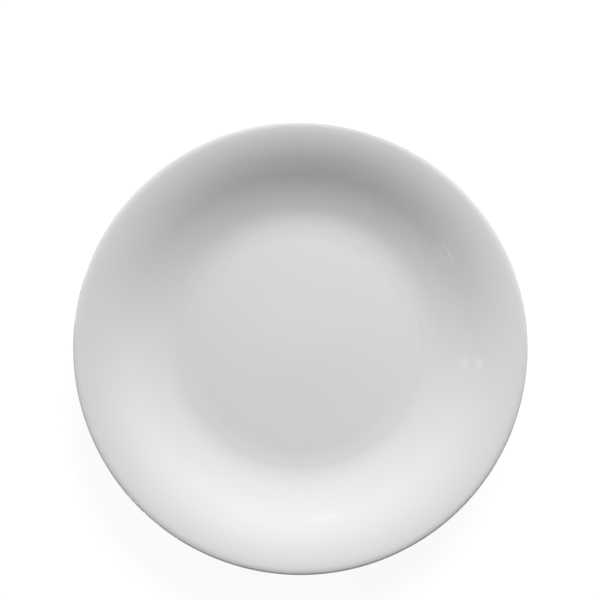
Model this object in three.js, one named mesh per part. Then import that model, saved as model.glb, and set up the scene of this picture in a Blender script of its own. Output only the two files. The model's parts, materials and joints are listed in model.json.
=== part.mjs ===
// Coupe dinner plate in glazed porcelain: a flat well, a flank that sweeps up in one soft S and a rolled rim.
// Millimetres, +Z up, with the origin in the middle of the plate at the level it stands on.
// Every piece is turned, so each is an outline of radius and height swept round the axis.

import * as THREE from 'three';

// Finished sizes, measured over the glaze
const PLATE_DIAMETER = 270;
const PLATE_HEIGHT = 28;
const BASE_THICKNESS = 4.5;

// Well: its flat floor, the slight dish round the floor, the even verge outside it and the bend that turns up
// into the flank
const WELL_DIAMETER = 130;
const WELL_DISH_WIDTH = 5;
const WELL_VERGE_WIDTH = 3.2;
const WELL_BEND_WIDTH = 12.2;

// Rim: its wall, the brow and the lip over which the face levels off, and the edge that rolls from the crest
// out to the widest point over a share of its height. A power of 2 rolls it as an ellipse, more is squarer.
const RIM_THICKNESS = 4.2;
const BROW_WIDTH = 4;
const LIP_WIDTH = 0.9;
const EDGE_WIDTH = 3.2;
const EDGE_POWER = 3;
const EDGE_ROLL_SHARE = 0.95;

// Foot ring: the bare ring of body that the plate stands on, and the recess inside it
const FOOT_DIAMETER = 148;
const FOOT_FACE_WIDTH = 3;
const FOOT_HEIGHT = 2.2;
const FOOT_EDGE_ROUND = 0.4;
const FOOT_FILLET = 2;
const FOOT_WALL_LEAN = THREE.MathUtils.degToRad(25);
const RECESS_DEPTH = 2;

// Glaze: its thickness, and how far its edge stays above the standing face
const GLAZE_THICKNESS = 0.3;
const GLAZE_LINE_HEIGHT = 0.8;

// Shape of the face: how steep it is at the end of each arc, as a share of the steepest slope's sine,
// and how far across the flank it is steepest and starts to ease off
const DISH_STEEPNESS = 0.15;
const BEND_STEEPNESS = 0.66;
const SHOULDER_STEEPNESS = 0.88;
const BROW_STEEPNESS = 0.53;
const LIP_STEEPNESS = 0.32;
const STEEPEST_PLACE = 0.45;
const SHOULDER_PLACE = 0.69;

// Fineness of the facets
const ROUND_SEGMENTS = 64;
const DISH_STEPS = 1;
const VERGE_STEPS = 1;
const BEND_STEPS = 3;
const FLANK_STEPS = 3;
const EASING_STEPS = 1;
const SHOULDER_STEPS = 2;
const BROW_STEPS = 1;
const LIP_STEPS = 1;
const EDGE_STEPS = 4;
const UNDERSIDE_STEPS = 3;
const BACK_STEPS = 6;
const FILLET_STEPS = 2;
const FOOT_EDGE_STEPS = 2;

// Sizes that follow from these
const WELL_RADIUS = WELL_DIAMETER / 2;
const WELL_HEIGHT = RECESS_DEPTH + BASE_THICKNESS;
const PLATE_RADIUS = PLATE_DIAMETER / 2;
const CREST_RADIUS = PLATE_RADIUS - EDGE_WIDTH;
const LIP_START = CREST_RADIUS - LIP_WIDTH;
const BROW_START = LIP_START - BROW_WIDTH;
const FOOT_OUTER_RADIUS = (FOOT_DIAMETER + FOOT_FACE_WIDTH) / 2;
const FOOT_INNER_RADIUS = (FOOT_DIAMETER - FOOT_FACE_WIDTH) / 2;

const STEEPEST_SINE_LIMIT = 0.98;
const CORNERS_PER_FACET = 6;

// The place between low and high where a rising function passes zero
function zeroOf(rising, low, high) {
  let below = low;
  let above = high;
  for (let halving = 0; halving < 50; halving += 1) {
    const middle = (below + above) / 2;
    if (rising(middle) < 0) {
      below = middle;
    } else {
      above = middle;
    }
  }
  return (below + above) / 2;
}

// The ends of the face's arcs, from the flat floor out to the crest. Between two of them the slope's sine
// grows or falls evenly with the radius, which is what a circular arc does.
function faceArcs(steepest) {
  const dishEnd = WELL_RADIUS + WELL_DISH_WIDTH;
  const vergeEnd = dishEnd + WELL_VERGE_WIDTH;
  const bendEnd = vergeEnd + WELL_BEND_WIDTH;
  const flankEnd = THREE.MathUtils.lerp(bendEnd, BROW_START, STEEPEST_PLACE);
  const shoulderStart = THREE.MathUtils.lerp(bendEnd, BROW_START, SHOULDER_PLACE);
  return [
    { radius: WELL_RADIUS, sine: 0, steps: 0 },
    { radius: dishEnd, sine: DISH_STEEPNESS * steepest, steps: DISH_STEPS },
    { radius: vergeEnd, sine: DISH_STEEPNESS * steepest, steps: VERGE_STEPS },
    { radius: bendEnd, sine: BEND_STEEPNESS * steepest, steps: BEND_STEPS },
    { radius: flankEnd, sine: steepest, steps: FLANK_STEPS },
    { radius: shoulderStart, sine: SHOULDER_STEEPNESS * steepest, steps: EASING_STEPS },
    { radius: BROW_START, sine: BROW_STEEPNESS * steepest, steps: SHOULDER_STEPS },
    { radius: LIP_START, sine: LIP_STEEPNESS * steepest, steps: BROW_STEPS },
    { radius: CREST_RADIUS, sine: 0, steps: LIP_STEPS },
  ];
}

// Height and slope of the face at a radius. An arc's chord lies at the mean of its two end slopes.
function faceAt(radius, arcs) {
  let height = WELL_HEIGHT;
  let slope = 0;
  for (let index = 1; index < arcs.length; index += 1) {
    const from = arcs[index - 1];
    const to = arcs[index];
    const reached = THREE.MathUtils.clamp(radius, from.radius, to.radius);
    const share = (reached - from.radius) / (to.radius - from.radius);
    const nextSlope = Math.asin(THREE.MathUtils.lerp(from.sine, to.sine, share));
    if (reached > from.radius) {
      height += (reached - from.radius) * Math.tan((slope + nextSlope) / 2);
      slope = nextSlope;
    }
  }
  return { radius, height, slope };
}

// The steepest slope is the one that brings the crest up to the plate's height
const crestShortfall = (sine) => faceAt(CREST_RADIUS, faceArcs(sine)).height - PLATE_HEIGHT;
const FACE_ARCS = faceArcs(zeroOf(crestShortfall, 0, STEEPEST_SINE_LIMIT));

// The glazed face, from the axis to the crest
function facePoints() {
  const points = [new THREE.Vector2(0, WELL_HEIGHT), new THREE.Vector2(WELL_RADIUS, WELL_HEIGHT)];
  for (let index = 1; index < FACE_ARCS.length; index += 1) {
    const from = FACE_ARCS[index - 1];
    const to = FACE_ARCS[index];
    for (let step = 1; step <= to.steps; step += 1) {
      const place = faceAt(THREE.MathUtils.lerp(from.radius, to.radius, step / to.steps), FACE_ARCS);
      points.push(new THREE.Vector2(place.radius, place.height));
    }
  }
  return points;
}

// A point of the back, square below the face by the wall's thickness there
function belowFace(place, wall) {
  const radius = place.radius + wall * Math.sin(place.slope);
  return new THREE.Vector2(radius, place.height - wall * Math.cos(place.slope));
}

// The rolled edge: a squarish quarter round from the crest to the widest point, then a soft turn to the back
function edgePoints() {
  const brow = faceAt(BROW_START, FACE_ARCS);
  const backStart = belowFace(brow, RIM_THICKNESS);
  const cornerHeight = backStart.y + (PLATE_RADIUS - backStart.x) * Math.tan(brow.slope);
  const roll = EDGE_ROLL_SHARE * (PLATE_HEIGHT - cornerHeight);
  const widest = new THREE.Vector2(PLATE_RADIUS, PLATE_HEIGHT - roll);
  const points = [];
  for (let step = 1; step <= EDGE_STEPS; step += 1) {
    const angle = ((Math.PI / 2) * step) / EDGE_STEPS;
    const out = EDGE_WIDTH * Math.sin(angle) ** (2 / EDGE_POWER);
    const up = roll * Math.cos(angle) ** (2 / EDGE_POWER);
    points.push(new THREE.Vector2(CREST_RADIUS + out, widest.y + up));
  }
  const corner = new THREE.Vector2(PLATE_RADIUS, cornerHeight);
  const underside = new THREE.QuadraticBezierCurve(widest, corner, backStart).getPoints(UNDERSIDE_STEPS);
  return [...points, ...underside.slice(1)];
}

// A glazed foot wall at a height, on the outer or the inner side of the ring
function glazedWall(side, height) {
  const bareRadius = side > 0 ? FOOT_OUTER_RADIUS : FOOT_INNER_RADIUS;
  const out = height * Math.tan(FOOT_WALL_LEAN) + GLAZE_THICKNESS / Math.cos(FOOT_WALL_LEAN);
  return new THREE.Vector2(bareRadius + side * out, height);
}

// A soft corner between a surface and a foot wall, ending at the glaze line
function footCorner(start, side, cornerHeight) {
  const corner = glazedWall(side, cornerHeight);
  const drop = Math.min(FOOT_FILLET, (cornerHeight - GLAZE_LINE_HEIGHT) / 2);
  const fillet = new THREE.QuadraticBezierCurve(start, corner, glazedWall(side, cornerHeight - drop));
  return [...fillet.getPoints(FILLET_STEPS), glazedWall(side, GLAZE_LINE_HEIGHT)];
}

// The glazed back, from below the brow to the glaze line on the foot ring, at a wall thickness that changes
// evenly from the rim to the foot
function backPoints() {
  const root = glazedWall(1, FOOT_HEIGHT);
  const overhang = (radius) => {
    const place = faceAt(radius, FACE_ARCS);
    return radius + (place.height - FOOT_HEIGHT) * Math.tan(place.slope) - root.x;
  };
  const overRoot = faceAt(zeroOf(overhang, 0, BROW_START), FACE_ARCS);
  const wallAtFoot = (overRoot.height - FOOT_HEIGHT) / Math.cos(overRoot.slope);
  const filletStart = overRoot.radius + FOOT_FILLET;
  const points = [];
  for (let step = 1; step <= BACK_STEPS; step += 1) {
    const place = faceAt(THREE.MathUtils.lerp(BROW_START, filletStart, step / BACK_STEPS), FACE_ARCS);
    const share = (place.radius - overRoot.radius) / (BROW_START - overRoot.radius);
    points.push(belowFace(place, THREE.MathUtils.lerp(wallAtFoot, RIM_THICKNESS, share)));
  }
  const lastBack = points.pop();
  return [...points, ...footCorner(lastBack, 1, FOOT_HEIGHT)];
}

// The glazed recess, from the axis to the glaze line inside the foot ring
function recessPoints() {
  const filletStart = glazedWall(-1, RECESS_DEPTH).x - FOOT_FILLET;
  const start = new THREE.Vector2(filletStart, RECESS_DEPTH);
  return [new THREE.Vector2(0, RECESS_DEPTH), ...footCorner(start, -1, RECESS_DEPTH)];
}

// An outline moved sideways by a distance, to the right of the way it runs, with square corners kept square
function shifted(outline, distance) {
  const headings = outline.slice(1).map((point, index) => point.clone().sub(outline[index]).normalize());
  return outline.map((point, index) => {
    const before = headings[Math.max(index - 1, 0)];
    const after = headings[Math.min(index, headings.length - 1)];
    const mean = before.clone().add(after).normalize();
    const reach = distance / mean.dot(before);
    return new THREE.Vector2(point.x + mean.y * reach, point.y - mean.x * reach);
  });
}

// The bare foot, from the glaze line inside the ring, over the standing face, to the one outside
function barePoints() {
  const inner = new THREE.Vector2(FOOT_INNER_RADIUS, 0);
  const outer = new THREE.Vector2(FOOT_OUTER_RADIUS, 0);
  const round = Math.min(FOOT_EDGE_ROUND, GLAZE_LINE_HEIGHT / 2, FOOT_FACE_WIDTH / 4);
  const wallStart = new THREE.Vector2(round * Math.tan(FOOT_WALL_LEAN), round);
  const innerEdge = new THREE.QuadraticBezierCurve(
    new THREE.Vector2(inner.x - wallStart.x, wallStart.y),
    inner,
    new THREE.Vector2(inner.x + round, 0),
  );
  const outerEdge = new THREE.QuadraticBezierCurve(
    new THREE.Vector2(outer.x - round, 0),
    outer,
    new THREE.Vector2(outer.x + wallStart.x, wallStart.y),
  );
  return [...innerEdge.getPoints(FOOT_EDGE_STEPS), ...outerEdge.getPoints(FOOT_EDGE_STEPS)];
}

// A turned piece: an outline that runs anticlockwise, swept round the axis
function turned(name, outline, material) {
  const geometry = new THREE.LatheGeometry(outline, ROUND_SEGMENTS);
  geometry.rotateX(Math.PI / 2);
  const mesh = new THREE.Mesh(geometry, material);
  mesh.name = name;
  return mesh;
}

// Splits a turned piece's facets along their other diagonals. The same facet on a neighbour is swept from an
// outline that runs the other way, so with this the two are split alike and lie on each other exactly.
function splitLikeNeighbour(mesh) {
  const corners = mesh.geometry.index.array;
  for (let start = 0; start < corners.length; start += CORNERS_PER_FACET) {
    const [inner, innerNext, outer, outerNext] = corners.slice(start, start + CORNERS_PER_FACET);
    corners.set([inner, innerNext, outerNext, outerNext, outer, inner], start);
  }
  return mesh;
}

const porcelain = new THREE.MeshStandardMaterial({ color: 0xece8e0, roughness: 0.75, metalness: 0 });
const glaze = new THREE.MeshStandardMaterial({ color: 0xf4f4f2, roughness: 0.12, metalness: 0 });
const recessGlaze = new THREE.MeshStandardMaterial({ color: 0xf4f4f2, roughness: 0.15, metalness: 0 });

// The glaze lies on the body all over, so each of its areas shares the body's outline as its own underside
const coat = [...facePoints(), ...edgePoints(), ...backPoints()];
const underCoat = shifted(coat, GLAZE_THICKNESS);
const recess = recessPoints();
const underRecess = shifted(recess, -GLAZE_THICKNESS);

const bodyOutline = [...underRecess, ...barePoints(), ...underCoat.toReversed()];

const plate = new THREE.Group();
plate.add(
  splitLikeNeighbour(turned('porcelain_body', bodyOutline, porcelain)),
  turned('glaze_coat', [...underCoat, ...coat.toReversed()], glaze),
  turned('foot_recess_glaze', [...recess, ...underRecess.toReversed()], recessGlaze),
);

export default plate;
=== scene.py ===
# %% [markdown]
# # A white porcelain plate
#
# A plate like this is shaped in one piece on a turning mould, fired, dipped in clear glaze and fired again.
# It has no ornament, so everything about its looks comes from two things: the curve of its face and the
# gloss of its glaze. This lesson draws the curve with care, spins it into a mesh, gives the glaze and the
# bare foot their finishes, and lights them softly.
#
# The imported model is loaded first. It is the fixed frame: sizes are read from it, and nothing in it is
# moved.

import json
import math

import bmesh
import bpy
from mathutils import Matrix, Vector


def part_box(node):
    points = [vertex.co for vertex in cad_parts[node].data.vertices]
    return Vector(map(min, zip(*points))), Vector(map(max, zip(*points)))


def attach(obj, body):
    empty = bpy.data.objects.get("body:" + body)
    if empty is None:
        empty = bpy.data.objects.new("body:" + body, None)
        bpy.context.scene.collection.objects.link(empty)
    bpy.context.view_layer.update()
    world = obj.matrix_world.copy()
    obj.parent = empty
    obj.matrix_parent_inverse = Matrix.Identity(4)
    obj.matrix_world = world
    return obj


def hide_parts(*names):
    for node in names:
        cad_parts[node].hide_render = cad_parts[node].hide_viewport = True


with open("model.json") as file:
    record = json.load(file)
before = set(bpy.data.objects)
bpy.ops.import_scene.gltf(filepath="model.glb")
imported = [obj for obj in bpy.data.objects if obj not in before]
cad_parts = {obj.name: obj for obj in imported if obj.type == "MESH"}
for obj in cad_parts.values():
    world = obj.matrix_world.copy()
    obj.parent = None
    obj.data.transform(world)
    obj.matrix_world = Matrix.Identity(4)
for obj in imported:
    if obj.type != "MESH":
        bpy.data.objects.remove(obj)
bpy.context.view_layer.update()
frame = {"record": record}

# %% [markdown]
# ## Sizes
#
# What the frame knows is read from it: the outer size, the level of the well's floor, the foot ring, the
# thickness of the glaze and the line where the glaze stops. They could be typed in again, but then a change
# of the model would leave the looks behind. Sizes that the frame doesn't hold come with the step that needs
# them, in millimetres.

# %% Read the sizes
MM = 0.001

coat_low, coat_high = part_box("glaze_coat")
body_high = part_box("porcelain_body")[1]
recess_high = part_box("foot_recess_glaze")[1]
mount_places = {mount["name"]: Vector(mount["pos_m"]) for mount in frame["record"]["mounts"]}

PLATE_RADIUS = coat_high.x
PLATE_HEIGHT = coat_high.z
GLAZE_THICKNESS = coat_high.z - body_high.z
GLAZE_LINE_HEIGHT = coat_low.z
RECESS_DEPTH = recess_high.z - GLAZE_THICKNESS
WELL_HEIGHT = mount_places["well_floor"].z
FOOT_RADIUS = mount_places["foot_ring_face"].xy.length
print("plate", round(PLATE_RADIUS * 2 / MM, 2), "by", round(PLATE_HEIGHT / MM, 2), "mm, glaze",
      round(GLAZE_THICKNESS / MM, 3), "mm, foot ring", round(FOOT_RADIUS * 2 / MM, 1), "mm across")

# %% [markdown]
# ## The curve of the face
#
# On the real plate the face is one smooth S. Round the flat floor come a slight dish and a narrow verge,
# then a bend turns up into the flank. The flank is steepest about three quarters of the way out, eases off
# over a shoulder and a brow, and a lip brings it level at the crest. It could be drawn as a Bezier curve,
# but then the slope, which is what the light shows, would only be known by looking. Here the slope is
# written down instead. Between two stations the sine of the slope changes evenly with the radius, and that
# is exactly what a circular arc does, so the face is a chain of arcs that meet without a kink.

# %% Stations of the face
WELL_RADIUS = 65 * MM
WELL_DISH_WIDTH = 5 * MM
WELL_VERGE_WIDTH = 3.2 * MM
WELL_BEND_WIDTH = 12.2 * MM
BROW_WIDTH = 4 * MM
LIP_WIDTH = 0.9 * MM
EDGE_WIDTH = 3.2 * MM

DISH_STEEPNESS = 0.15
BEND_STEEPNESS = 0.66
SHOULDER_STEEPNESS = 0.88
BROW_STEEPNESS = 0.53
LIP_STEEPNESS = 0.32
STEEPEST_PLACE = 0.45
SHOULDER_PLACE = 0.69

CREST_RADIUS = PLATE_RADIUS - EDGE_WIDTH
LIP_START = CREST_RADIUS - LIP_WIDTH
BROW_START = LIP_START - BROW_WIDTH


def lerp(start, end, share):
    return start + (end - start) * share


def face_arcs(steepest):
    """Where each arc of the face ends, as radius and slope sine, from the flat floor to the crest."""
    dish_end = WELL_RADIUS + WELL_DISH_WIDTH
    verge_end = dish_end + WELL_VERGE_WIDTH
    bend_end = verge_end + WELL_BEND_WIDTH
    return [
        (WELL_RADIUS, 0.0),
        (dish_end, DISH_STEEPNESS * steepest),
        (verge_end, DISH_STEEPNESS * steepest),
        (bend_end, BEND_STEEPNESS * steepest),
        (lerp(bend_end, BROW_START, STEEPEST_PLACE), steepest),
        (lerp(bend_end, BROW_START, SHOULDER_PLACE), SHOULDER_STEEPNESS * steepest),
        (BROW_START, BROW_STEEPNESS * steepest),
        (LIP_START, LIP_STEEPNESS * steepest),
        (CREST_RADIUS, 0.0),
    ]


print("stations of the face:", [round(radius / MM, 1) for radius, _ in face_arcs(1)], "mm from the axis")

# %% [markdown]
# ## How steep the flank is
#
# The plate's height is known, but not the slope that reaches it. An arc's chord lies at the mean of its two
# end slopes, so heights along the face need no integration. A steeper flank always lifts the crest, so the
# right slope is found by halving an interval until the crest lies at the plate's height. A formula would
# have to be solved again for each change of a station, and this needs no formula.

# %% Find the steepest slope
HALVINGS = 50
STEEPEST_SINE_LIMIT = 0.98


def face_at(radius, arcs):
    """Height and slope of the face at a radius."""
    height, slope = WELL_HEIGHT, 0.0
    for (from_radius, from_sine), (to_radius, to_sine) in zip(arcs, arcs[1:]):
        if radius <= from_radius:
            break
        reached = min(radius, to_radius)
        share = (reached - from_radius) / (to_radius - from_radius)
        next_slope = math.asin(lerp(from_sine, to_sine, share))
        height += (reached - from_radius) * math.tan((slope + next_slope) / 2)
        slope = next_slope
    return height, slope


def crest_height(steepest):
    """Height of the rim's crest when the flank is as steep as this."""
    return face_at(CREST_RADIUS, face_arcs(steepest))[0]


def zero_of(rising, low, high):
    """The place between low and high where a rising function passes zero."""
    for _ in range(HALVINGS):
        middle = (low + high) / 2
        if rising(middle) < 0:
            low = middle
        else:
            high = middle
    return (low + high) / 2


STEEPEST_SINE = zero_of(lambda sine: crest_height(sine) - PLATE_HEIGHT, 0.0, STEEPEST_SINE_LIMIT)
FACE_ARCS = face_arcs(STEEPEST_SINE)
print("steepest slope of the flank:", round(math.degrees(math.asin(STEEPEST_SINE)), 1), "degrees")

# %% [markdown]
# ## Points of the face
#
# A glossy surface shows every facet, so the points lie close together on the flank and closer still on the
# lip. The floor isn't dead flat on a real plate: it rises by a third of a millimetre in the middle, so that
# it doesn't sag in the kiln, and that gives it a faint play of light. A subdivision surface would smooth
# coarser points, but it would also pull the curve away from its arcs.

# %% Face of the glaze
FACE_STEP = 0.7 * MM
LIP_STEP = 0.3 * MM
FLOOR_STEP = 4.5 * MM
FLOOR_CROWN_HEIGHT = 0.35 * MM
FLOOR_CROWN_RADIUS = 42 * MM


def evenly(start, end, step):
    """Values from start to end, both included, about a step apart."""
    count = max(1, math.ceil(abs(end - start) / step))
    return [lerp(start, end, index / count) for index in range(count + 1)]


def floor_crown(radius):
    """The floor's faint rise in the middle."""
    share = min(1.0, radius / FLOOR_CROWN_RADIUS)
    return FLOOR_CROWN_HEIGHT * (1 - share ** 2) ** 2


def face_points():
    floor_radii = evenly(0, WELL_RADIUS, FLOOR_STEP)
    flank_radii = evenly(WELL_RADIUS, LIP_START, FACE_STEP)[1:]
    lip_radii = evenly(LIP_START, CREST_RADIUS, LIP_STEP)[1:]
    points = [Vector((radius, WELL_HEIGHT + floor_crown(radius))) for radius in floor_radii]
    points += [Vector((radius, face_at(radius, FACE_ARCS)[0])) for radius in flank_radii + lip_radii]
    return points


face_part = face_points()
print("face:", len(face_part), "points, crest at", round(face_part[-1].y / MM, 2), "mm")

# %% [markdown]
# ## The rolled edge
#
# In the photograph the rim stays pale almost to its outline and then darkens within a millimetre or two. A
# plain quarter round darkens earlier, so the edge is a quarter of a superellipse: with a power of 3 instead
# of a circle's 2 it stays level longer and turns over faster. Below the widest point a soft corner leads
# into the back. A Bevel modifier could round the edge too, but only as a circle or along a hand-drawn
# profile.

# %% Edge of the rim
RIM_THICKNESS = 4.2 * MM
EDGE_POWER = 3
EDGE_ROLL_SHARE = 0.95
EDGE_STEPS = 16
UNDERSIDE_STEPS = 14


def below_face(radius, wall):
    """A point of the back, square below the face by the wall there."""
    height, slope = face_at(radius, FACE_ARCS)
    return Vector((radius + wall * math.sin(slope), height - wall * math.cos(slope)))


def soft_corner(start, corner, end, steps):
    """A corner softened into a quadratic curve."""
    shares = [step / steps for step in range(steps + 1)]
    return [start * (1 - s) ** 2 + corner * 2 * s * (1 - s) + end * s ** 2 for s in shares]


def edge_points():
    """The rolled edge: a squarish quarter round to the widest point, then a soft turn into the back."""
    back_start = below_face(BROW_START, RIM_THICKNESS)
    brow_slope = face_at(BROW_START, FACE_ARCS)[1]
    corner = Vector((PLATE_RADIUS, back_start.y + (PLATE_RADIUS - back_start.x) * math.tan(brow_slope)))
    roll = EDGE_ROLL_SHARE * (PLATE_HEIGHT - corner.y)
    widest = Vector((PLATE_RADIUS, PLATE_HEIGHT - roll))
    points = []
    for step in range(1, EDGE_STEPS):
        angle = math.pi / 2 * step / EDGE_STEPS
        out = EDGE_WIDTH * math.sin(angle) ** (2 / EDGE_POWER)
        up = roll * math.cos(angle) ** (2 / EDGE_POWER)
        points.append(Vector((CREST_RADIUS + out, widest.y + up)))
    return points + soft_corner(widest, corner, back_start, UNDERSIDE_STEPS)


edge_part = edge_points()
print("edge:", len(edge_part), "points, down to", round(edge_part[-1].y / MM, 2), "mm")

# %% [markdown]
# ## Where the glaze stops
#
# The foot ring's walls lean, so that the plate comes out of its mould. The glaze is wiped off their lowest
# part before firing, and as it melts its edge draws up into a tiny bead. A bump in the material could hint
# at the bead, but a quarter round in the mesh also shows in the outline and catches light from any side.

# %% Glaze on the foot walls
FOOT_HEIGHT = 2.2 * MM
FOOT_FACE_WIDTH = 3 * MM
FOOT_WALL_LEAN = math.radians(25)
FOOT_FILLET = 2 * MM
FILLET_STEPS = 8
BEAD_STEPS = 5


def glazed_wall(side, height):
    """A point of the foot ring's glazed wall, on its outer side (1) or its inner side (-1)."""
    bare_radius = FOOT_RADIUS + side * FOOT_FACE_WIDTH / 2
    out = height * math.tan(FOOT_WALL_LEAN) + GLAZE_THICKNESS / math.cos(FOOT_WALL_LEAN)
    return Vector((bare_radius + side * out, height))


def glaze_bead(side):
    """The rolled edge of the glaze on a foot wall: a quarter round that ends on the bare body."""
    down = (glazed_wall(side, 0) - glazed_wall(side, FOOT_HEIGHT)).normalized()
    out = Vector((math.cos(FOOT_WALL_LEAN) * side, -math.sin(FOOT_WALL_LEAN)))
    centre = glazed_wall(side, GLAZE_LINE_HEIGHT + GLAZE_THICKNESS) - out * GLAZE_THICKNESS
    angles = [math.pi / 2 * step / BEAD_STEPS for step in range(BEAD_STEPS + 1)]
    return [centre + GLAZE_THICKNESS * (out * math.cos(angle) + down * math.sin(angle)) for angle in angles]


def foot_corner(start, side, corner_height):
    """The fillet from a surface into a foot wall, and the wall down to the bead."""
    drop = min(FOOT_FILLET, (corner_height - GLAZE_LINE_HEIGHT) / 2)
    corner = glazed_wall(side, corner_height)
    fillet = soft_corner(start, corner, glazed_wall(side, corner_height - drop), FILLET_STEPS)
    return fillet + glaze_bead(side)


print("glaze ends", round(glaze_bead(1)[-1].y / MM, 2), "mm above the table")

# %% [markdown]
# ## The back
#
# The back follows the face, at a wall that thickens evenly from the rim to the foot. A Solidify modifier
# gives only one thickness, so each point is set square below the face by the wall there. The back ends
# where the wall outside the foot ring starts, in a fillet.

# %% Back of the glaze
BACK_STEP = 1.6 * MM


def back_points():
    root = glazed_wall(1, FOOT_HEIGHT)

    def overhang(radius):
        height, slope = face_at(radius, FACE_ARCS)
        return radius + (height - FOOT_HEIGHT) * math.tan(slope) - root.x

    over_root = zero_of(overhang, 0, BROW_START)
    root_height, root_slope = face_at(over_root, FACE_ARCS)
    wall_at_foot = (root_height - FOOT_HEIGHT) / math.cos(root_slope)
    points = []
    for radius in evenly(BROW_START, over_root + FOOT_FILLET, BACK_STEP)[1:]:
        share = (radius - over_root) / (BROW_START - over_root)
        points.append(below_face(radius, lerp(wall_at_foot, RIM_THICKNESS, share)))
    print("wall from rim to foot:", round(RIM_THICKNESS / MM, 2), "to", round(wall_at_foot / MM, 2), "mm")
    return points[:-1] + foot_corner(points[-1], 1, FOOT_HEIGHT)


coat_outline = face_part + edge_part + back_points()
print("outline of the glaze:", len(coat_outline), "points")

# %% [markdown]
# ## The recess and the bare foot
#
# Under the plate the recess is glazed too, up to the foot ring. The ring's standing face is wiped clean
# before firing, or the plate would stick to the kiln shelf, so there the bare body shows, with its edges
# rubbed round. The recess could be cut out of a solid foot, but in a turned piece it is only one more
# outline.

# %% Outline of the recess and of the bare foot
FOOT_EDGE_ROUND = 0.4 * MM
FOOT_EDGE_STEPS = 5


def recess_points():
    corner = glazed_wall(-1, RECESS_DEPTH)
    flat_radii = evenly(0, corner.x - FOOT_FILLET, FLOOR_STEP)
    flat = [Vector((radius, RECESS_DEPTH)) for radius in flat_radii]
    return flat[:-1] + foot_corner(flat[-1], -1, RECESS_DEPTH)


def bare_foot_points():
    points = []
    for side in (-1, 1):
        edge = Vector((FOOT_RADIUS + side * FOOT_FACE_WIDTH / 2, 0))
        up_wall = edge + FOOT_EDGE_ROUND * Vector((side * math.tan(FOOT_WALL_LEAN), 1))
        on_face = edge - Vector((side * FOOT_EDGE_ROUND, 0))
        corner = soft_corner(up_wall, edge, on_face, FOOT_EDGE_STEPS)
        points += corner if side < 0 else corner[::-1]
    return points


recess_outline = recess_points()
bare_outline = bare_foot_points()
print("recess:", len(recess_outline), "points, bare foot:", len(bare_outline), "points")

# %% [markdown]
# ## The body under the glaze
#
# The body's surface is the glazed outline moved in by the thickness of the glaze. Where the outline turns,
# a point moves along the middle between its two sides, a little further the sharper the turn, so the glaze
# is equally thick on both. A Solidify modifier would need the same care at the open ends, where the outline
# meets the foot. The underside of the glaze stops a hair above the body, so the two skins never fight for
# one place.

# %% Outlines under the glaze
SKIN_GAP = 0.01 * MM


def shifted(outline, distance):
    """The outline moved sideways, to the right of the way it runs."""
    headings = [(after - before).normalized() for before, after in zip(outline, outline[1:])]
    moved = []
    for index, point in enumerate(outline):
        before = headings[max(index - 1, 0)]
        after = headings[min(index, len(headings) - 1)]
        mean = (before + after).normalized()
        reach = distance / mean.dot(before)
        moved.append(point + Vector((mean.y, -mean.x)) * reach)
    return moved


def without_bead(outline, side):
    """A glazed outline whose edge runs straight down the foot wall to the glaze line."""
    return outline[:-BEAD_STEPS - 1] + [glazed_wall(side, GLAZE_LINE_HEIGHT)]


coat_base = without_bead(coat_outline, 1)
recess_base = without_bead(recess_outline, -1)
under_coat = shifted(coat_base, GLAZE_THICKNESS)
under_recess = shifted(recess_base, -GLAZE_THICKNESS)
coat_underside = shifted(coat_base, GLAZE_THICKNESS - SKIN_GAP)
recess_underside = shifted(recess_base, SKIN_GAP - GLAZE_THICKNESS)
print("base of the plate:", round((under_coat[0].y - under_recess[0].y) / MM, 2), "mm of body in the middle")

# %% [markdown]
# ## Spinning the outlines
#
# A turned piece can be made with a Screw modifier, with a curve bevelled round a circle or with bmesh's
# spin. Spin is used here: it leaves a plain closed mesh, with the first and the last ring welded together,
# and the mesh can be measured at once. A mesh without open edges has a volume, and its sign tells which way
# the faces point.

# %% Spin the outlines into meshes
ROUND_SEGMENTS = 224
WELD_DISTANCE = 0.001 * MM
ML_PER_CUBIC_METRE = 1e6


def turned(name, outline):
    """A closed mesh from an outline that starts and ends on the axis."""
    shape = bmesh.new()
    verts = [shape.verts.new((point.x, 0, point.y)) for point in outline]
    edges = [shape.edges.new(pair) for pair in zip(verts, verts[1:])]
    bmesh.ops.spin(shape, geom=verts + edges, cent=(0, 0, 0), axis=(0, 0, 1), angle=2 * math.pi,
                   steps=ROUND_SEGMENTS, use_merge=True)
    bmesh.ops.remove_doubles(shape, verts=shape.verts, dist=WELD_DISTANCE)
    if shape.calc_volume(signed=True) < 0:
        bmesh.ops.reverse_faces(shape, faces=shape.faces)
    for face in shape.faces:
        face.smooth = True
    open_edges = sum(1 for edge in shape.edges if not edge.is_manifold)
    volume = shape.calc_volume(signed=True) * ML_PER_CUBIC_METRE
    mesh = bpy.data.meshes.new(name)
    shape.to_mesh(mesh)
    shape.free()
    piece = bpy.data.objects.new(name, mesh)
    bpy.context.scene.collection.objects.link(piece)
    print(name, len(mesh.polygons), "faces,", open_edges, "open edges,", round(volume, 2), "ml")
    return piece


fired_body = turned("fired_body", under_recess + bare_outline + under_coat[::-1])
face_glaze = turned("face_glaze", coat_underside + coat_outline[::-1])
recess_glaze = turned("recess_glaze", recess_outline + recess_underside[::-1])

# %% [markdown]
# ## Onto the frame
#
# Nothing on a plate moves, so all three meshes ride on the one body. Each stands for the imported solid that
# it refines, which then no longer shows. The imported solids could have been kept and given better
# materials, but their facets would show in the gloss.

# %% Hang the pieces on the frame
for piece, node, slot in (
    (fired_body, "porcelain_body", "porcelain"),
    (face_glaze, "glaze_coat", "glaze"),
    (recess_glaze, "foot_recess_glaze", "recess_glaze"),
):
    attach(piece, "root")
    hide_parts(node)
    print(piece.name, "stands for", node)

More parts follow.
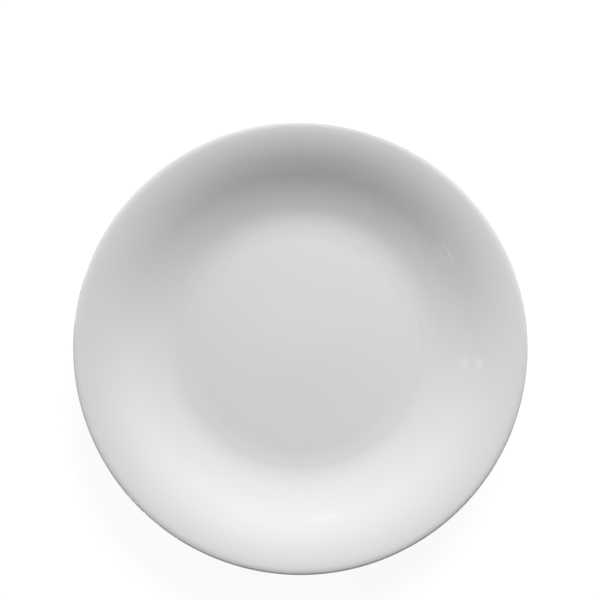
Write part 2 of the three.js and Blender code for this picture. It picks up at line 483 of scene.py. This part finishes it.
# %% [markdown]
# ## Writing shaders as sums
#
# A material is a tree of nodes, and its arithmetic is easier to read as Python than as a picture of wires.
# This small class holds one socket. Adding, subtracting or multiplying sockets adds Math nodes to the tree,
# with a number on either side if need be, and any other node comes from the node method: a type, its
# settings and what goes into its sockets.

# %% A socket that can be added and multiplied


class Signal:
    """One output socket of a node tree."""

    def __init__(self, tree, socket=None):
        self.tree = tree
        self.socket = socket

    def node(self, kind, settings=None, sockets=None, output=0):
        """Adds a node, makes its settings, fills its sockets and gives back one of its outputs."""
        made = self.tree.nodes.new(kind)
        for name, value in (settings or {}).items():
            setattr(made, name, value)
        for name, value in (sockets or {}).items():
            if isinstance(value, Signal):
                self.tree.links.new(value.socket, made.inputs[name])
            else:
                made.inputs[name].default_value = value
        return Signal(self.tree, made.outputs[output] if made.outputs else None)

    def maths(self, operation, first, second):
        return self.node("ShaderNodeMath", {"operation": operation}, {0: first, 1: second})

    def __add__(self, other):
        return self.maths("ADD", self, other)

    def __sub__(self, other):
        return self.maths("SUBTRACT", self, other)

    def __rsub__(self, other):
        return self.maths("SUBTRACT", other, self)

    def __mul__(self, other):
        return self.maths("MULTIPLY", self, other)

    __radd__ = __add__
    __rmul__ = __mul__


print("a Signal adds Math nodes for +, - and *, and its node method adds any other")

# %% [markdown]
# ## What varies in the glaze
#
# Fired glaze is glass. On white porcelain it looks like a white colour under a hard gloss, but close up it
# isn't a perfect mirror: it has a faint orange peel a few millimetres across, it flowed a little as it
# melted, and its gloss varies. A fine ring in the turn between the well and the flank is coloured a touch
# greyer: that is painted shade, standing for the shade that falls in that crease. Painted maps would need a
# layout of the surface. Noise, and a ring by distance from the axis, need only Object coordinates, which are
# in metres, so every lump has a real size.

# %% Lumps, a ring and blends
PEEL_SIZE, PEEL_DETAIL = 3.5 * MM, 1.5
FLOW_SIZE, FLOW_DETAIL = 45 * MM, 2.0
GLOSS_SIZE, GLOSS_DETAIL = 16 * MM, 3.0
# The ring of painted shade in the crease between the well and the flank: its radius and half width.
CREASE_SHADE_RADIUS = 75 * MM
CREASE_SHADE_HALF_WIDTH = 1.8 * MM


def noise(start, place, size, detail):
    """Soft random values from 0 to 1, with lumps of about a size in metres."""
    return start.node("ShaderNodeTexNoise", {"noise_dimensions": "3D"},
                      {"Vector": place, "Scale": 1 / size, "Detail": detail}, "Fac")


def ring(start, place, radius, half_width):
    """One on a circle round the plate's axis, fading to zero a half width away from it."""
    flat = start.node("ShaderNodeVectorMath", {"operation": "MULTIPLY"}, {0: place, 1: (1, 1, 0)})
    out = start.node("ShaderNodeVectorMath", {"operation": "LENGTH"}, {0: flat}, "Value")
    off = start.node("ShaderNodeMath", {"operation": "ABSOLUTE"}, {0: out - radius})
    return 1 - start.node("ShaderNodeMapRange", {"interpolation_type": "SMOOTHSTEP"},
                          {"Value": off, "From Max": half_width})


def blended(start, share, first, second):
    """A colour between two others. A Mix node has its colours in sockets 6 and 7 and in output 2."""
    return start.node("ShaderNodeMix", {"data_type": "RGBA"}, {0: share, 6: first, 7: second}, 2)


print("lumps in mm: peel", PEEL_SIZE / MM, "flow", FLOW_SIZE / MM, "gloss", GLOSS_SIZE / MM)

# %% [markdown]
# ## Glaze
#
# One Principled shader makes the glaze: its colour is the white of the porcelain below, and its gloss is
# that of glass. A clear coat over a second shader would say the same with more nodes. The recess is glazed
# in the same dip but dries face down, so it comes out a little more rippled and less glossy than the face.

# %% Finish of the glaze
GLAZE_WHITE = (0.86, 0.86, 0.86, 1)
# A grey a touch darker than the glaze: the flow's random tone and the painted crease shade blend towards it.
GLAZE_GREY_AND_CREASE_SHADE = (0.835, 0.837, 0.84, 1)
FLOW_TINT = 0.3
# How far the painted crease shade greys the glaze on its ring.
CREASE_SHADE_TINT = 0.7
PEEL_HEIGHT_SHARE = 0.4
FLOW_HEIGHT_SHARE = 2.0
GLOSS_SPREAD = 0.03
CERAMIC_IOR = 1.5


def empty_material(name):
    """A new material with no nodes, and a signal to start its tree from."""
    material = bpy.data.materials.new(name)
    material.use_nodes = True
    material.node_tree.nodes.clear()
    print("material:", name)
    return material, Signal(material.node_tree)


def glaze_finish(name, ripple, roughness):
    """The glaze's material, with ripples of a height in metres and a least roughness."""
    material, start = empty_material(name)
    place = start.node("ShaderNodeTexCoord", output="Object")
    peel = noise(start, place, PEEL_SIZE, PEEL_DETAIL)
    flow = noise(start, place, FLOW_SIZE, FLOW_DETAIL)
    gloss = noise(start, place, GLOSS_SIZE, GLOSS_DETAIL)
    # Painted shade: a ring in the crease between the well and the flank.
    crease_shade = ring(start, place, CREASE_SHADE_RADIUS, CREASE_SHADE_HALF_WIDTH)
    surface = PEEL_HEIGHT_SHARE * peel + FLOW_HEIGHT_SHARE * flow
    bump = start.node("ShaderNodeBump", {}, {"Strength": 1.0, "Distance": ripple, "Height": surface})
    # The base colour greys at random with the flow, and along the crease ring as painted shade.
    shader = start.node("ShaderNodeBsdfPrincipled", {}, {
        "Base Color": blended(start, FLOW_TINT * flow + CREASE_SHADE_TINT * crease_shade, GLAZE_WHITE, GLAZE_GREY_AND_CREASE_SHADE),
        "Roughness": roughness + GLOSS_SPREAD * gloss,
        "IOR": CERAMIC_IOR,
        "Normal": bump,
    })
    start.node("ShaderNodeOutputMaterial", {}, {"Surface": shader})
    return material


face_glaze.data.materials.append(glaze_finish("face_glaze_gloss", ripple=0.0015 * MM, roughness=0.02))
recess_glaze.data.materials.append(glaze_finish("recess_glaze_gloss", ripple=0.006 * MM, roughness=0.05))

# %% [markdown]
# ## Bare porcelain
#
# The foot ring's standing face is unglazed: matt, a shade warmer than the glaze and as fine-grained as an
# eggshell, with the odd darker grain in the clay. Speckles could be scattered one by one, but at this scale
# two sizes of noise, one for the grain and one for the clouding, look the same.

# %% Finish of the bare body
BISQUE_LIGHT = (0.80, 0.785, 0.75, 1)
BISQUE_DARK = (0.66, 0.64, 0.60, 1)
GRAIN_SIZE, GRAIN_DETAIL = 0.35 * MM, 3.0
CLOUD_SIZE, CLOUD_DETAIL = 9 * MM, 2.0
GRAIN_TINT = 0.35
CLOUD_TINT = 0.3
GRAIN_HEIGHT = 0.05 * MM
BISQUE_ROUGHNESS = 0.7
BISQUE_ROUGHNESS_SPREAD = 0.2


def bisque_finish(name):
    material, start = empty_material(name)
    place = start.node("ShaderNodeTexCoord", output="Object")
    grain = noise(start, place, GRAIN_SIZE, GRAIN_DETAIL)
    cloud = noise(start, place, CLOUD_SIZE, CLOUD_DETAIL)
    bump = start.node("ShaderNodeBump", {}, {"Strength": 1.0, "Distance": GRAIN_HEIGHT, "Height": grain})
    shader = start.node("ShaderNodeBsdfPrincipled", {}, {
        "Base Color": blended(start, GRAIN_TINT * grain + CLOUD_TINT * cloud, BISQUE_LIGHT, BISQUE_DARK),
        "Roughness": BISQUE_ROUGHNESS + BISQUE_ROUGHNESS_SPREAD * grain,
        "IOR": CERAMIC_IOR,
        "Normal": bump,
    })
    start.node("ShaderNodeOutputMaterial", {}, {"Surface": shader})
    return material


fired_body.data.materials.append(bisque_finish("bare_bisque"))

# %% [markdown]
# ## Floor
#
# The plate lies on plain white. A white floor under soft light renders grey, and more light would burn the
# plate out. So to rays that come straight from the camera, from a mirror or through glass, the floor glows
# almost white, and a thin layer of ordinary diffuse white takes it the rest of the way wherever the lamps
# reach: what is left out is the plate's soft shadow. Far from the plate the glow is full, so the floor runs
# into the white world without a seam. To light that bounces, it is a plain pale surface.

# %% White floor
FLOOR_SIZE = 12.0
FLOOR_DROP = 0.05 * MM
FLOOR_PALE = (0.55, 0.55, 0.55, 1)
FLOOR_SHADE = (0.16, 0.16, 0.16, 1)
FLOOR_GLOW = (0.93, 0.93, 0.93, 1)
WHITE = (1, 1, 1, 1)
GLOW_GROWS_FROM = 0.5
GLOW_GROWS_TO = 1.6


def seen_directly(start):
    """One for camera, mirror and glass rays, zero for light that bounces."""
    camera_ray = start.node("ShaderNodeLightPath", output="Is Camera Ray")
    mirror_ray = start.node("ShaderNodeLightPath", output="Is Glossy Ray")
    glass_ray = start.node("ShaderNodeLightPath", output="Is Transmission Ray")
    return start.maths("MAXIMUM", start.maths("MAXIMUM", camera_ray, mirror_ray), glass_ray)


def floor_finish():
    material, start = empty_material("pale_floor")
    place = start.node("ShaderNodeTexCoord", output="Object")
    distance = start.node("ShaderNodeVectorMath", {"operation": "LENGTH"}, {0: place}, "Value")
    far = start.node("ShaderNodeMapRange", {"interpolation_type": "SMOOTHSTEP"},
                     {"Value": distance, "From Min": GLOW_GROWS_FROM, "From Max": GLOW_GROWS_TO})
    glow = start.node("ShaderNodeEmission", {}, {"Color": blended(start, far, FLOOR_GLOW, WHITE)})
    shade = start.node("ShaderNodeBsdfDiffuse", {}, {"Color": FLOOR_SHADE})
    seen = start.node("ShaderNodeAddShader", {}, {0: glow, 1: shade})
    pale = start.node("ShaderNodeBsdfDiffuse", {}, {"Color": FLOOR_PALE})
    mixed = start.node("ShaderNodeMixShader", {}, {0: seen_directly(start), 1: pale, 2: seen})
    start.node("ShaderNodeOutputMaterial", {}, {"Surface": mixed})
    return material


def make_floor():
    shape = bmesh.new()
    bmesh.ops.create_grid(shape, x_segments=2, y_segments=2, size=FLOOR_SIZE / 2)
    mesh = bpy.data.meshes.new("floor")
    shape.to_mesh(mesh)
    shape.free()
    mesh.materials.append(floor_finish())
    floor = bpy.data.objects.new("floor", mesh)
    floor.location.z = -FLOOR_DROP
    bpy.context.scene.collection.objects.link(floor)
    return floor


make_floor()
print("floor:", FLOOR_SIZE, "m square")

# %% [markdown]
# ## World
#
# The world is white to the same rays and gives only a breath of light to the rest. A bright world would be
# simpler, but light from everywhere flattens a white plate, whose curve shows by shading alone.

# %% White world
AMBIENT = 0.027


def make_world():
    world = bpy.data.worlds.new("studio")
    world.use_nodes = True
    world.node_tree.nodes.clear()
    start = Signal(world.node_tree)
    strength = AMBIENT + (1 - AMBIENT) * seen_directly(start)
    sky = start.node("ShaderNodeBackground", {}, {"Color": WHITE, "Strength": strength})
    start.node("ShaderNodeOutputWorld", {}, {"Surface": sky})
    return world


bpy.context.scene.world = make_world()
print("light from all round:", AMBIENT)

# %% [markdown]
# ## Lamps
#
# The shading on the plate says where the light is. The far flank is dark and the near flank bright, so the
# main lamp is a wide, low softbox behind the plate and a little to the right. Weak, low fills on three
# sides keep the flanks that face away from it from going black. Sun lamps would do for the brightness, but
# the soft turn from light to dark along the rim needs lamps of some width.

# %% Softboxes
LAMP_DISTANCE = 1.75


def on_dome(azimuth, elevation):
    """A place round the plate, by its angle from +X towards +Y and its height angle."""
    turn, lift = math.radians(azimuth), math.radians(elevation)
    out = LAMP_DISTANCE * math.cos(lift)
    up = WELL_HEIGHT + LAMP_DISTANCE * math.sin(lift)
    return Vector((out * math.cos(turn), out * math.sin(turn), up))


def softbox(name, azimuth, elevation, size, power):
    """An area lamp of a width and a height, aimed at the middle of the well."""
    lamp = bpy.data.lights.new(name, "AREA")
    lamp.shape = "RECTANGLE"
    lamp.size, lamp.size_y = size
    lamp.energy = power
    holder = bpy.data.objects.new(name, lamp)
    holder.location = on_dome(azimuth, elevation)
    aim = Vector((0, 0, WELL_HEIGHT)) - holder.location
    holder.rotation_euler = aim.to_track_quat("-Z", "Y").to_euler()
    bpy.context.scene.collection.objects.link(holder)
    print(name, "at", [round(c, 2) for c in holder.location], power, "W")


softbox("key_softbox", azimuth=76, elevation=33.2, size=(0.94, 0.56), power=36)
softbox("right_fill", azimuth=5, elevation=25, size=(0.5, 0.375), power=1.2)
softbox("left_fill", azimuth=168, elevation=16.5, size=(0.62, 0.375), power=5.9)
softbox("front_fill", azimuth=231, elevation=9, size=(0.5, 0.25), power=3.1)

# %% [markdown]
# ## Glints
#
# The flank carries a few faint marks that are mirror images of small lights: a dash at the front, a pair of
# drops on the right and a pair of strokes at the back right. Each pair is one light seen twice, once on
# either side of the ring where the flank is steepest. They could be painted on, but then they would stick
# to the plate in other views. So each light hangs where the law of reflection puts it for its marks, and it
# is only a little brighter than the white around it.

# %% Small lights
softbox("front_glint", azimuth=98, elevation=50.4, size=(0.19, 0.03), power=0.029)
softbox("twin_glint", azimuth=179.4, elevation=51, size=(0.06, 0.1), power=0.026)
softbox("side_glint", azimuth=216.3, elevation=46.9, size=(0.19, 0.05), power=0.033)

# %% [markdown]
# ## Camera
#
# The photograph looks straight down, from above a point a little behind the plate's middle. The rim is a
# circle of known size and place in the picture, which gives the scale and the camera's place. The ring of
# the well lies a little off the middle of the rim, because the rim is nearer to the camera, and that gives
# the distance. The lens then follows. Blender's own fitting of a view to an object would lose all three.

# %% Camera straight above
PHOTO_SIZE_PX = 600
PLATE_CENTRE_PX = (300.4, 347.7)
PLATE_RADIUS_PX = 227.3
CAMERA_DISTANCE = 0.5
SENSOR_WIDTH_MM = 36.0
VIEW_REACH = 50.0

metres_per_px = PLATE_RADIUS / PLATE_RADIUS_PX
view = bpy.data.cameras.new("camera")
view.sensor_width = SENSOR_WIDTH_MM
view.lens = SENSOR_WIDTH_MM * CAMERA_DISTANCE / (PHOTO_SIZE_PX * metres_per_px)
view.clip_end = VIEW_REACH
camera = bpy.data.objects.new("camera", view)
camera.location = (
    (PHOTO_SIZE_PX / 2 - PLATE_CENTRE_PX[0]) * metres_per_px,
    (PLATE_CENTRE_PX[1] - PHOTO_SIZE_PX / 2) * metres_per_px,
    PLATE_HEIGHT - RIM_THICKNESS / 2 + CAMERA_DISTANCE,
)
bpy.context.scene.collection.objects.link(camera)
bpy.context.scene.camera = camera
bpy.context.scene.view_settings.view_transform = "Standard"
print("lens:", round(view.lens, 1), "mm at", CAMERA_DISTANCE, "m")
